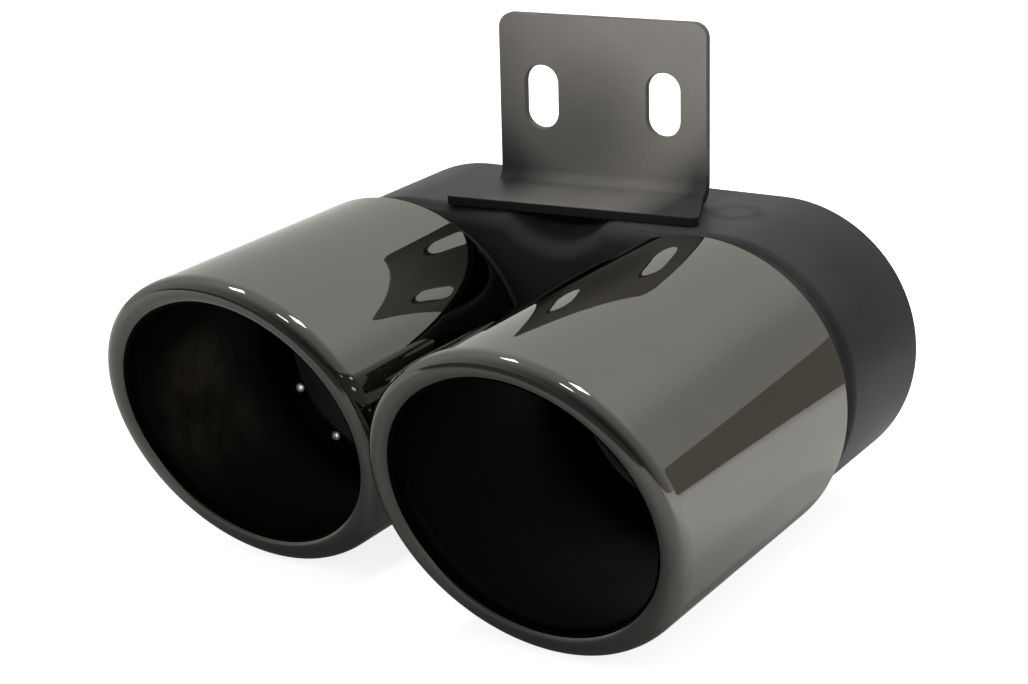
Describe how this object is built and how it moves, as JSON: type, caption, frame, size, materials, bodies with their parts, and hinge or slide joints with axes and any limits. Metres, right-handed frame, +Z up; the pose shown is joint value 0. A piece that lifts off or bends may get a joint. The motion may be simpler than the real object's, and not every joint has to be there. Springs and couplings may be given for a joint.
{
  "type": "twin exhaust tip",
  "caption": "Twin car exhaust tip: slash-cut round tips with rolled lips on a pinched oval sleeve, hung from a slotted bent bracket.",
  "frame": {"origin": "on the floor under the tips, midway across the part and midway between its front and rear", "axes": "+X across the two tips towards the longer one, +Y from the mouths towards the open rear, +Z up"},
  "size_m": [0.1686, 0.1555, 0.1244],
  "materials": {
    "black_chrome": "polished black chrome",
    "black_paint": "satin black",
    "satin_steel": "satin dark grey",
    "weld_metal": "bare weld"
  },
  "bodies": {
    "root": {"right_tip": "black_chrome", "left_tip": "black_chrome", "twin_sleeve": "black_paint", "bracket": "satin_steel", "weld_tacks": "weld_metal"}
  },
  "joints": []
}
